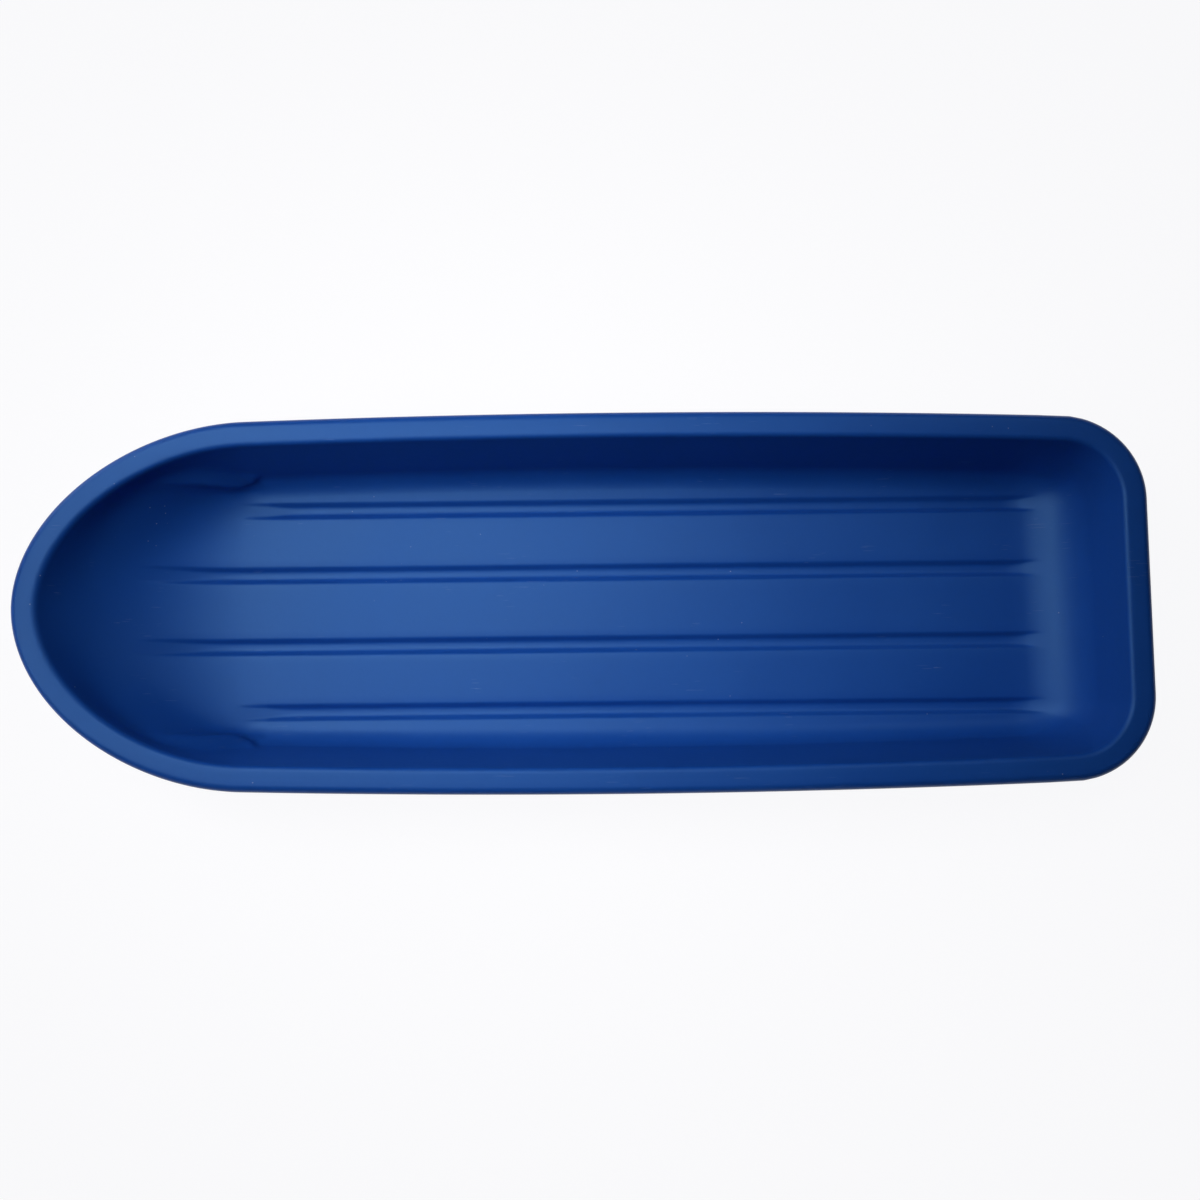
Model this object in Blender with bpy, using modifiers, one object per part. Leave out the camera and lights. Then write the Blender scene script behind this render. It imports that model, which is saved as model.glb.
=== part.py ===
"""A pulk sled: one sheet of plastic drawn down into a long tub with a turned-down rim.

The tub is drawn as a boat is, by its waterlines. Each height above the floor has one outline: a straight
stern, a round stern corner, a slightly bulging side and a bow that goes from nearly square at the floor to
round at the rim. Four runner channels are pressed into the floor and one ledge into each front corner. The
inside of the tub is drawn for one half, mirrored, and thickened outwards by the thickness of the sheet.
"""
import math
import bmesh
import bpy

# Whole sled, nose along +X, in metres.
LENGTH = 1.524
WIDTH = 0.510
HEIGHT = 0.152
SHEET = 0.003

# Rim, from the wall of the tub out to the lip.
RIM_WIDTH = 0.0335
RIM_INNER_FOLD = 0.0042
RIM_OUTER_RADIUS = 0.008
LIP_HEIGHT = 0.020
LIP_FLARE = math.radians(7.0)

# Outline at the top of the tub wall.
BEAM_AFT = 0.047
SIDE_BULGE = 0.0167
STERN_CORNER_RADIUS = 0.0805
BOW_LENGTH = 0.2735
BOW_SQUARENESS = 1.90

# Outlines lower down: the stern corner at the floor, and the bow from just below the rim.
FLOOR_CORNER_RADIUS = 0.012
LOWER_BOW_LENGTH = 0.2585
LOWER_BOW_SQUARENESS = 2.00
LOWER_BOW_INSET = 0.050
BOW_SHOULDER_FULLNESS = 0.006
BOW_SHOULDER_DROP = 0.042

# Walls: how far each leans out, and the radius that joins it to the floor.
SIDE_DRAFT = math.radians(10.5)
SIDE_FILLET = 0.034
STERN_DRAFT = math.radians(10.5)
STERN_FILLET = 0.087
BOW_DRAFT = math.radians(32.0)
BOW_SWEEP = 0.300

# Runner channels.
RUNNER_DEPTH = 0.007
RUNNER_WIDTH = 0.028
RUNNER_SLOPE = math.radians(55.0)
RUNNER_TOP_FOLD = 0.0044
RUNNER_LAND_FOLD = 0.0025
INNER_RUNNER_Y = 0.052
OUTER_RUNNER_FROM_WALL = 0.00637
RUNNER_STERN_END = 0.095
RUNNER_STERN_RAMP = 0.052
INNER_RUNNER_NOSE_END = 0.122
INNER_RUNNER_NOSE_RAMP = 0.125
OUTER_RUNNER_NOSE_END = 0.262
OUTER_RUNNER_NOSE_RAMP = 0.085

# Front-corner ledges: a narrow shelf against the wall. Its ridge climbs from near the floor towards the
# nose, fast at first, until the wall meets it. Insets are level, from the top of the side wall. The aft end
# of the ridge is a rise above the floor and its tip is a drop from the top of the rim.
LEDGE_AFT_FROM_NOSE = 0.286
LEDGE_LENGTH = 0.118
LEDGE_AFT_INSET = 0.045
LEDGE_TIP_INSET = 0.046
LEDGE_AFT_RISE = 0.024
LEDGE_TIP_DROP = 0.050
LEDGE_CROWN = 0.60
LEDGE_TOP_SLOPE = math.radians(38.0)
LEDGE_FACE_DRAFT = math.radians(4.0)
LEDGE_AFT_SLANT = 1.30
LEDGE_FOOT_RADIUS = 0.004
LEDGE_EDGE_BLEND = 0.006
LEDGE_WALL_BLEND = 0.010
LEDGE_FOOT_BLEND = 0.004
LEDGE_SHELF_LEAST = 0.006
LEDGE_SHELF_MOST = 0.018


def mix(a, b, amount):
    return a + (b - a) * amount


def ease(value):
    """Runs smoothly from 0 to 1 while the value does."""
    value = min(1.0, max(0.0, value))
    return value * value * (3.0 - 2.0 * value)


def along(x, knots):
    """Reads a broken line given by its corners."""
    if x <= knots[0][0]:
        return knots[0][1]
    for (x0, z0), (x1, z1) in zip(knots, knots[1:]):
        if x <= x1:
            return mix(z0, z1, (x - x0) / (x1 - x0))
    return knots[-1][1]


# Sizes that follow from the ones above. Heights inside the tub are measured from its flat floor.
FLOOR_Z = RUNNER_DEPTH + SHEET
DEPTH = HEIGHT - FLOOR_Z
TUB_HALF = WIDTH / 2 - RIM_WIDTH
TUB_STERN = -LENGTH / 2 + RIM_WIDTH
TUB_NOSE = LENGTH / 2 - RIM_WIDTH
BEAM_X = -BEAM_AFT
SIDE_RADIUS = (LENGTH / 2) ** 2 / (2 * SIDE_BULGE) + SIDE_BULGE / 2
LEDGE_AFT_X = LENGTH / 2 - LEDGE_AFT_FROM_NOSE
LEDGE_TIP_X = LEDGE_AFT_X + LEDGE_LENGTH
LEDGE_RIDGE_TIP = DEPTH - LEDGE_TIP_DROP
BOW_SHOULDER_HEIGHT = DEPTH - BOW_SHOULDER_DROP

# Heights of the rows of faces that go round the tub, from the edge of the floor patch to the rim. The first
# seven follow the side fillet. Near a ledge every row bends, so that one runs along the ledge's ridge and one
# along the top of its shelf.
PATCH_EDGE = 0.0004
FILLET_TOP = SIDE_FILLET * (1.0 - math.sin(SIDE_DRAFT))
RIDGE_LEVEL = mix(FILLET_TOP, DEPTH, 0.10)
TOP_LEVEL = mix(FILLET_TOP, DEPTH, 0.30)
ROWS = (PATCH_EDGE, *(FILLET_TOP * share for share in (0.072, 0.18, 0.342, 0.558, 0.774, 1.0)),
        RIDGE_LEVEL, (RIDGE_LEVEL + TOP_LEVEL) / 2, TOP_LEVEL, mix(TOP_LEVEL, DEPTH, 0.42), DEPTH - 0.016)
CHANNEL_FADE = ROWS[7] + 0.006

# The front columns of the side lean forward above the floor, to stand close together at the ledge.
COLUMN_LEAN = 0.018
LEAN_LENGTH = 0.075


def inset(height, draft, fillet):
    """How far a wall's surface stands inside the top of the wall at a height above the floor."""
    tangent = min(DEPTH, fillet * (1.0 - math.sin(draft)))
    if height >= tangent:
        return (DEPTH - height) * math.tan(draft)
    full = math.sqrt(fillet ** 2 - (fillet - tangent) ** 2)
    part = math.sqrt(max(0.0, fillet ** 2 - (fillet - height) ** 2))
    return (DEPTH - tangent) * math.tan(draft) + full - part


FLOOR_SIDE = inset(0.0, SIDE_DRAFT, SIDE_FILLET)
FLOOR_STERN = inset(0.0, STERN_DRAFT, STERN_FILLET)
FLOOR_BOW = inset(0.0, BOW_DRAFT, BOW_SWEEP)
FLOOR_NOSE = TUB_NOSE - FLOOR_BOW
OUTER_RUNNER_Y = TUB_HALF - FLOOR_SIDE - OUTER_RUNNER_FROM_WALL - RUNNER_WIDTH / 2


def soft_min(a, b, blend):
    return min(a, b) - max(0.0, blend - abs(a - b)) ** 2 / (4 * blend)


def soft_max(a, b, blend):
    return -soft_min(-a, -b, blend)


def ridge_height(x):
    share = min(1.0, max(0.0, (x - LEDGE_AFT_X) / LEDGE_LENGTH))
    return mix(LEDGE_AFT_RISE, LEDGE_RIDGE_TIP, share * (1.0 + LEDGE_CROWN * (1.0 - share)))


def ridge_y(x):
    return TUB_HALF - mix(LEDGE_AFT_INSET, LEDGE_TIP_INSET, (x - LEDGE_AFT_X) / LEDGE_LENGTH)


def ledge_y(x, height):
    """The y of the ledge's surface: a steep face, a sloping top above the ridge and a slanting aft end."""
    above = height - ridge_height(x)
    face = above * math.tan(LEDGE_FACE_DRAFT)
    top = above / math.tan(LEDGE_TOP_SLOPE)
    aft = (LEDGE_AFT_X - x) * LEDGE_AFT_SLANT
    outward = soft_max(soft_max(face, top, LEDGE_EDGE_BLEND), aft, LEDGE_EDGE_BLEND)
    low = max(0.0, LEDGE_FOOT_RADIUS - height)
    foot = LEDGE_FOOT_RADIUS - math.sqrt(LEDGE_FOOT_RADIUS ** 2 - low ** 2)
    return ridge_y(x) + outward - foot


class Waterline:
    """The outline of the tub's inside at one height, for the +Y half.

    A place on it is a number: 0 to 1 along the stern, 1 to 2 round the stern corner, 2 to 3 along the side
    and 3 to 4 round the bow to the nose.
    """

    def __init__(self, height):
        side = inset(height, SIDE_DRAFT, SIDE_FILLET)
        stern = inset(height, STERN_DRAFT, STERN_FILLET)
        bow = inset(height, BOW_DRAFT, BOW_SWEEP)
        self.height = height
        self.half = TUB_HALF - side
        self.stern = TUB_STERN + stern
        self.nose = TUB_NOSE - bow
        deep = (side + stern) / (FLOOR_SIDE + FLOOR_STERN)
        self.corner = mix(STERN_CORNER_RADIUS, FLOOR_CORNER_RADIUS, deep)
        self.corner_x = self.stern + self.corner
        self.middle_y = self.half - SIDE_RADIUS
        gap = SIDE_RADIUS - self.corner
        self.corner_y = self.middle_y + math.sqrt(gap ** 2 - (self.corner_x - BEAM_X) ** 2)
        self.corner_turn = math.acos((BEAM_X - self.corner_x) / gap)
        self.side_start = self.corner_x - self.corner * math.cos(self.corner_turn)
        low = ease(bow / LOWER_BOW_INSET)
        self.shoulder = TUB_NOSE - mix(BOW_LENGTH, LOWER_BOW_LENGTH, low)
        self.power = mix(BOW_SQUARENESS, LOWER_BOW_SQUARENESS, low)
        rise = (height - BOW_SHOULDER_HEIGHT) / (DEPTH - BOW_SHOULDER_HEIGHT)
        self.fullness = BOW_SHOULDER_FULLNESS * (1.0 - ease(abs(rise)))

    def side(self, x):
        return self.middle_y + math.sqrt(SIDE_RADIUS ** 2 - (x - BEAM_X) ** 2)

    def point(self, place):
        if place <= 1.0:
            return self.stern, self.corner_y * place
        if place <= 2.0:
            turn = (place - 1.0) * self.corner_turn
            return self.corner_x - self.corner * math.cos(turn), self.corner_y + self.corner * math.sin(turn)
        if place >= 4.0:
            return self.nose, 0.0
        turn = max(0.0, place - 3.0) * math.pi / 2
        if place <= 3.0:
            x = mix(self.side_start, self.shoulder, place - 2.0)
        else:
            x = self.shoulder + (self.nose - self.shoulder) * math.sin(turn) ** (2.0 / self.power)
        wall = self.side(x) * math.cos(turn) ** (2.0 / self.power) + self.fullness * math.sin(2 * turn) ** 2
        blend = mix(LEDGE_FOOT_BLEND, LEDGE_WALL_BLEND, ease(self.height / LEDGE_AFT_RISE))
        return x, soft_min(wall, ledge_y(x, self.height), blend)

    def place(self, value, axis, first, last):
        """The place between two others where x (axis 0) or y (axis 1) has a value."""
        rising = self.point(last)[axis] > self.point(first)[axis]
        for _ in range(44):
            middle = (first + last) / 2
            if (self.point(middle)[axis] < value) == rising:
                first = middle
            else:
                last = middle
        return (first + last) / 2

    def outward(self, place):
        """The unit direction away from the tub, level, at a place."""
        if place <= 0.0:
            return -1.0, 0.0
        if place >= 4.0:
            return 1.0, 0.0
        x0, y0 = self.point(max(0.0, place - 0.002))
        x1, y1 = self.point(min(4.0, place + 0.002))
        size = math.hypot(x1 - x0, y1 - y0)
        return -(y1 - y0) / size, (x1 - x0) / size


RUNNERS = (
    (INNER_RUNNER_Y, INNER_RUNNER_NOSE_END, INNER_RUNNER_NOSE_RAMP),
    (OUTER_RUNNER_Y, OUTER_RUNNER_NOSE_END, OUTER_RUNNER_NOSE_RAMP),
)


def groove(x, y):
    """How deep the runner channels are pressed in at a point of the floor."""
    from_stern = x + LENGTH / 2 - RUNNER_STERN_END
    for centre, nose_end, nose_ramp in RUNNERS:
        from_edge = RUNNER_WIDTH / 2 - abs(y - centre)
        from_nose = LENGTH / 2 - nose_end - x
        if from_edge <= 0.0 or from_stern <= 0.0 or from_nose <= 0.0:
            continue
        land = RUNNER_DEPTH * ease(from_stern / RUNNER_STERN_RAMP) * ease(from_nose / nose_ramp)
        slope = math.tan(RUNNER_SLOPE)
        if from_edge < RUNNER_TOP_FOLD:
            flank = slope * from_edge ** 2 / (2 * RUNNER_TOP_FOLD)
        else:
            flank = slope * (from_edge - RUNNER_TOP_FOLD / 2)
        blend = max(0.0, RUNNER_LAND_FOLD - abs(flank - land)) ** 2 / (4 * RUNNER_LAND_FOLD)
        return max(0.0, min(flank, land) - blend)
    return 0.0


def ledge_rows(column):
    """The heights at which a column crosses the ridge of the ledge and the top of its shelf."""
    low, high = 0.0, LEDGE_RIDGE_TIP
    for _ in range(18):
        height = (low + high) / 2
        line = Waterline(height)
        x = line.point(column.place(line))[0]
        if ridge_height(x) > height:
            low = height
        else:
            high = height
    near = ease((x - LEDGE_AFT_X + 0.07) / 0.07) * (1.0 - ease((x - LEDGE_TIP_X) / 0.09))
    shelf = (line.half - ridge_y(x)) * math.tan(LEDGE_TOP_SLOPE)
    shelf = max(LEDGE_SHELF_LEAST, min(LEDGE_SHELF_MOST, shelf))
    return mix(RIDGE_LEVEL, height, near), mix(TOP_LEVEL, height + shelf, near)


def channel_lines():
    """The y of the lengthwise edges of the floor, from the middle outwards."""
    half = RUNNER_WIDTH / 2
    steps = (half, half - 0.0031, half - 0.0062, half - 0.0092)
    lines = [0.0]
    for centre, _, _ in RUNNERS:
        lines += [centre - step for step in steps] + [centre + step for step in reversed(steps)]
    lines.insert(9, (lines[8] + lines[9]) / 2)
    return lines


def stations():
    """The x of the crosswise edges of the floor, from stern to nose."""
    stern = TUB_STERN + FLOOR_STERN
    aft, fore = stern + 0.034, FLOOR_NOSE - 0.114
    middle = [mix(aft, fore, i / 7) for i in range(8)]
    front = [FLOOR_NOSE - x for x in (0.064, 0.049, 0.038, 0.030, 0.023, 0.016)]
    return [stern + 0.006, stern + 0.018] + middle + front


class Column:
    """One line of points that runs up the wall from the edge of the floor to the rim.

    A side column keeps its x, but the front ones lean forward. A stern or bow column keeps its y up to the
    height where its channel has faded, and then fans out to its place on the rim. A corner column runs midway
    between its two neighbours.
    """

    def __init__(self, kind, value=0.0, rim_place=0.0, hold=0.0):
        self.kind = kind
        self.value = value
        self.rim_place = rim_place
        self.hold = hold
        self.neighbours = ()
        self.ridge = RIDGE_LEVEL
        self.shelf = TOP_LEVEL

    def low_place(self, line):
        if self.value == 0.0:
            return 0.0 if self.kind == "stern" else 4.0
        if self.kind == "stern":
            return line.place(self.value, 1, 0.0, 2.0)
        return line.place(self.value, 1, 2.5, 4.0)

    def place(self, line):
        if self.kind == "side":
            front = ease((self.value - FLOOR_NOSE + LEAN_LENGTH) / LEAN_LENGTH)
            lean = COLUMN_LEAN * front ** 2 * ease(line.height / FILLET_TOP)
            return line.place(self.value + lean, 0, 1.0, 3.9)
        if self.kind == "corner":
            return sum(column.place(line) for column in self.neighbours) / 2
        if line.height <= self.hold:
            return self.low_place(line)
        share = (line.height - self.hold) / (DEPTH - self.hold)
        return mix(self.low_place(Waterline(self.hold)), self.rim_place, share)


def columns():
    lines = channel_lines()
    last = len(lines) - 1
    stern_corner, bow_corner = Column("corner"), Column("corner")
    found = [Column("stern", y, 1.88 * i / last, ROWS[3]) for i, y in enumerate(lines)]
    found.append(stern_corner)
    found += [Column("side", x) for x in stations()]
    found.append(bow_corner)
    for i in range(last, -1, -1):
        hold = CHANNEL_FADE if i <= 8 else ROWS[4] if i == 9 else ROWS[2]
        found.append(Column("bow", lines[i], 4.0 - 0.87 * i / last, hold))
    for corner in (stern_corner, bow_corner):
        i = found.index(corner)
        corner.neighbours = (found[i - 1], found[i + 1])
    for column in found:
        column.ridge, column.shelf = ledge_rows(column)
    return found


def wall_point(column, level):
    """A point of the tub's inside on one column, with the ledge and the channels worked in."""
    top = ROWS[-1]
    height = along(level, ((0.0, 0.0), (RIDGE_LEVEL, column.ridge), (TOP_LEVEL, column.shelf), (top, top)))
    line = Waterline(height)
    x, y = line.point(column.place(line))
    return x, y, FLOOR_Z + height - groove(x, y)


def rim_points(column):
    """The points of one column above the wall: inner fold, flange, outer fold and lip."""
    line = Waterline(DEPTH)
    place = column.place(line)
    x, y = line.point(place)
    nx, ny = line.outward(place)
    below = Waterline(DEPTH - RIM_INNER_FOLD)
    wall_x, wall_y = below.point(column.place(below))
    start = (wall_x, wall_y, HEIGHT - RIM_INNER_FOLD)
    end = (x + nx * RIM_INNER_FOLD, y + ny * RIM_INNER_FOLD, HEIGHT)
    fold = tuple(0.25 * a + 0.5 * b + 0.25 * c for a, b, c in zip(start, (x, y, HEIGHT), end))
    turn = math.pi / 2 - LIP_FLARE
    drop = RIM_OUTER_RADIUS * (1 - math.cos(turn))
    fold_start = RIM_WIDTH - (LIP_HEIGHT - drop) * math.tan(LIP_FLARE) - RIM_OUTER_RADIUS * math.sin(turn)
    points = [start, fold, end]
    for i in range(4):
        angle = turn * i / 3
        out = fold_start + RIM_OUTER_RADIUS * math.sin(angle)
        points.append((x + nx * out, y + ny * out, HEIGHT - RIM_OUTER_RADIUS * (1 - math.cos(angle))))
    points.append((x + nx * RIM_WIDTH, y + ny * RIM_WIDTH, HEIGHT - LIP_HEIGHT))
    return points


def half_surface():
    """The inside of the tub and the top of the rim for y >= 0, as points and faces."""
    lines, xs, round_tub = channel_lines(), stations(), columns()
    points, faces = [], []
    for x in xs:
        for y in lines:
            points.append((x, y, FLOOR_Z - groove(x, y)))
    n, m, count = len(lines), len(xs), len(round_tub)
    for i in range(m - 1):
        for j in range(n - 1):
            a = i * n + j
            faces.append((a, a + n, a + n + 1, a + 1))
    first = len(points)
    for level in ROWS:
        points += [wall_point(column, level) for column in round_tub]
    rims = [rim_points(column) for column in round_tub]
    for row in range(len(rims[0])):
        points += [rim[row] for rim in rims]
    stern, side, bow = first, first + n + 1, first + count - 1
    for j in range(n - 1):
        faces.append((stern + j, j, j + 1, stern + j + 1))
        a = (m - 1) * n + j
        faces.append((a, bow - j, bow - j - 1, a + 1))
    for i in range(m - 1):
        a = i * n + n - 1
        faces.append((a, a + n, side + i + 1, side + i))
    faces.append((n - 1, side, side - 1, stern + n - 1))
    faces.append((m * n - 1, bow - n + 1, bow - n, side + m - 1))
    for row in range(len(ROWS) + len(rims[0]) - 1):
        for c in range(count - 1):
            a = first + row * count + c
            faces.append((a, a + 1, a + count + 1, a + count))
    return points, faces


def plastic():
    """Dark blue moulded polyethylene, slightly shiny."""
    material = bpy.data.materials.new("blue_plastic")
    material.use_nodes = True
    shader = material.node_tree.nodes["Principled BSDF"]
    shader.inputs["Base Color"].default_value = (0.010, 0.066, 0.34, 1.0)
    shader.inputs["Roughness"].default_value = 0.42
    return material


def build():
    for item in list(bpy.data.objects):
        bpy.data.objects.remove(item, do_unlink=True)
    collection = bpy.data.collections.new("pulk_sled")
    bpy.context.scene.collection.children.link(collection)

    points, faces = half_surface()
    mesh = bpy.data.meshes.new("sled_shell")
    work = bmesh.new()
    corners = [work.verts.new(point) for point in points]
    for face in faces:
        work.faces.new([corners[i] for i in face]).smooth = True
    work.to_mesh(mesh)
    work.free()
    shell = bpy.data.objects.new("sled_shell", mesh)
    collection.objects.link(shell)
    mesh.materials.append(plastic())

    mirror = shell.modifiers.new("both sides", "MIRROR")
    mirror.use_axis = (False, True, False)
    mirror.use_clip = True
    mirror.merge_threshold = 0.00001
    sheet = shell.modifiers.new("sheet", "SOLIDIFY")
    sheet.thickness = SHEET
    sheet.offset = -1.0
    sheet.use_even_offset = True
    sheet.use_quality_normals = True


build()
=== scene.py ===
"""A blue pulk sled in a pale photo studio.

The sled is one moulded sheet. TubMould holds its shape, as the outline of the tub's inside at every height.
SledShell lofts a sheet over that mould, Polyethylene dresses it, and Studio adds floor, lights and camera.
Lengths are metres. The nose points along +X and the runners stand on z = 0.
"""
from __future__ import annotations

import logging
import math
from collections.abc import Callable, Sequence
from dataclasses import dataclass, field
from enum import Enum, IntEnum
from functools import lru_cache

import bmesh
import bpy
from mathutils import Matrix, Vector


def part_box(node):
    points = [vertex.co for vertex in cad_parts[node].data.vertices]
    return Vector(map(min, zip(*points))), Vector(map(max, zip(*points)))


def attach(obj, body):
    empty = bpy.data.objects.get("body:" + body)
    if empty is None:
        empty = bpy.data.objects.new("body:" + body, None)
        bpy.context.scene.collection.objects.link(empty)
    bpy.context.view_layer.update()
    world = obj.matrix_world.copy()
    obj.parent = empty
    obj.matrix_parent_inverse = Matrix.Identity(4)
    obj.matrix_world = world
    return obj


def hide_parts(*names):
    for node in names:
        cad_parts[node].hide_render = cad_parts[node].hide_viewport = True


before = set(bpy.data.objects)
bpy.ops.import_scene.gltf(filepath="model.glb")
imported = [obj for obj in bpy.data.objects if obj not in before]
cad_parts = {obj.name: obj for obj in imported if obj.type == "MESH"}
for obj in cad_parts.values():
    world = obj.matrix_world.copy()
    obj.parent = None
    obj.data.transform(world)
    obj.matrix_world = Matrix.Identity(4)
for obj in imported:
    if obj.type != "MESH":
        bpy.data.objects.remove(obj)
LOG = logging.getLogger("pulk_sled")
NODE = "sled_shell"
BODY = "root"
TINY = 1e-6

Spot = tuple[float, float]
Point = tuple[float, float, float]
Colour = tuple[float, float, float]


def mix(a: float, b: float, amount: float) -> float:
    """Goes from a to b as amount goes from 0 to 1."""
    return a + (b - a) * amount


def ease(value: float) -> float:
    """Runs smoothly from 0 to 1 while the value does."""
    value = min(1.0, max(0.0, value))
    return value * value * (3.0 - 2.0 * value)


def soft_min(a: float, b: float, blend: float) -> float:
    """The smaller of two numbers, rounded off where they differ by less than blend."""
    return min(a, b) - max(0.0, blend - abs(a - b)) ** 2 / (4 * blend)


def soft_max(a: float, b: float, blend: float) -> float:
    """The larger of two numbers, rounded off where they differ by less than blend."""
    return -soft_min(-a, -b, blend)


def along(value: float, knots: Sequence[Spot]) -> float:
    """Reads a broken line given by its corners.

    Args:
        value: Where to read it.
        knots: The corners, in rising order.

    Returns:
        The height of the line there.
    """
    if value <= knots[0][0]:
        return knots[0][1]
    for (x0, y0), (x1, y1) in zip(knots, knots[1:]):
        if value <= x1:
            return mix(y0, y1, (value - x0) / (x1 - x0))
    return knots[-1][1]


def spread(first: float, last: float, gap: float) -> list[float]:
    """Even steps from first to last, both included, no wider than gap."""
    steps = max(1, math.ceil(abs(last - first) / gap - TINY))
    return [mix(first, last, i / steps) for i in range(steps + 1)]


@dataclass(frozen=True)
class Sheet:
    """Overall size of the sled and the thickness of its sheet."""

    length: float
    width: float
    height: float
    thickness: float = 0.003

    @classmethod
    def from_frame(cls) -> Sheet:
        """The size that the frame gives, to a tenth of a millimetre."""
        low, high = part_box(NODE)
        return cls(*(round(far - near, 4) for near, far in zip(low, high)))


@dataclass(frozen=True)
class Rim:
    """The flat flange round the tub and the lip turned down at its edge.

    Attributes:
        width: From the top of the wall to the edge of the CAD rim.
        reach: How far the lip stands out past that edge.
        inner_fold, outer_radius: Sizes of the folds from wall to flange and from flange to lip.
        lip_height, lip_flare: How far the lip comes down, and how far it leans out.
        flange_steps, fold_steps: Steps across the flange and round the outer fold.
        lip_shares: The lip's rows, as shares of the way up from its lower edge.
    """

    width: float = 0.0335
    reach: float = 0.0020
    inner_fold: float = 0.0062
    outer_radius: float = 0.011
    lip_height: float = 0.020
    lip_flare: float = math.radians(6.0)
    flange_steps: int = 3
    fold_steps: int = 8
    lip_shares: tuple[float, ...] = (0.66, 0.33, 0.0)

    def profile(self) -> list[Spot]:
        """The rim's section outside the inner fold.

        Returns:
            Pairs of the distance out from the wall's top and the drop below the top of the rim.
        """
        turn = math.pi / 2 - self.lip_flare
        drop = self.outer_radius * (1 - math.cos(turn))
        lip_out = (self.lip_height - drop) * math.tan(self.lip_flare)
        edge = self.width + self.reach
        fold = edge - lip_out - self.outer_radius * math.sin(turn)
        section = [(mix(self.inner_fold, fold, i / self.flange_steps), 0.0)
                   for i in range(1, self.flange_steps)]
        for i in range(self.fold_steps + 1):
            angle = turn * i / self.fold_steps
            section.append((fold + self.outer_radius * math.sin(angle),
                            self.outer_radius * (1 - math.cos(angle))))
        section += [(edge - lip_out * share, self.lip_height - (self.lip_height - drop) * share)
                    for share in self.lip_shares]
        return section


@dataclass(frozen=True)
class Wall:
    """A wall of the tub: how far it leans out, and the radius that joins it to the floor."""

    draft: float
    fillet: float

    def inset(self, height: float, depth: float) -> float:
        """How far the wall stands inside its own top.

        Args:
            height: Height above the floor.
            depth: Depth of the tub.

        Returns:
            The level distance, which grows towards the floor.
        """
        tangent = min(depth, self.fillet * (1.0 - math.sin(self.draft)))
        if height >= tangent:
            return (depth - height) * math.tan(self.draft)
        full = math.sqrt(self.fillet ** 2 - (self.fillet - tangent) ** 2)
        part = math.sqrt(max(0.0, self.fillet ** 2 - (self.fillet - height) ** 2))
        return (depth - tangent) * math.tan(self.draft) + full - part


@dataclass(frozen=True)
class Runner:
    """A channel pressed into the floor, which stands out underneath as a runner.

    Attributes:
        centre: Distance of its middle from the middle of the sled.
        nose_end, nose_ramp: How far behind the nose it ends, and the length over which it runs out there.
        stern_end, stern_ramp: The same at the stern.
        depth, width: How deep it is pressed in, and its width at the top.
        slope: Steepness of its flanks.
        top_fold, land_fold: Sizes of the folds from floor to flank and from flank to land.
        edge_steps: Distances in from its side at which lengthwise edges follow its folds.
    """

    centre: float
    nose_end: float
    nose_ramp: float
    stern_end: float = 0.095
    stern_ramp: float = 0.052
    depth: float = 0.007
    width: float = 0.028
    slope: float = math.radians(50.0)
    top_fold: float = 0.0050
    land_fold: float = 0.0030
    edge_steps: tuple[float, ...] = (0.0, 0.0015, 0.003, 0.0044, 0.0056, 0.0068, 0.0078, 0.0090, 0.0115)

    def lines(self) -> list[float]:
        """Lays out the lengthwise edges that follow the channel's folds.

        Returns:
            The y of each edge, from the middle of the sled outwards.
        """
        across = [self.width / 2 - step for step in self.edge_steps]
        inner = [self.centre - step for step in across]
        outer = [self.centre + step for step in reversed(across)]
        return inner + [self.centre] + outer

    def drop(self, x: float, y: float, half_length: float) -> float:
        """How deep the channel is pressed in at a point of the floor.

        Args:
            x: Place along the sled.
            y: Place across it, on the +Y half.
            half_length: Half of the sled's length.

        Returns:
            The drop below the floor, 0 outside the channel.
        """
        from_edge = self.width / 2 - abs(y - self.centre)
        from_stern = x + half_length - self.stern_end
        from_nose = half_length - self.nose_end - x
        if from_edge <= 0.0 or from_stern <= 0.0 or from_nose <= 0.0:
            return 0.0
        land = self.depth * ease(from_stern / self.stern_ramp) * ease(from_nose / self.nose_ramp)
        slope = math.tan(self.slope)
        if from_edge < self.top_fold:
            flank = slope * from_edge ** 2 / (2 * self.top_fold)
        else:
            flank = slope * (from_edge - self.top_fold / 2)
        return max(0.0, soft_min(flank, land, self.land_fold))


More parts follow.
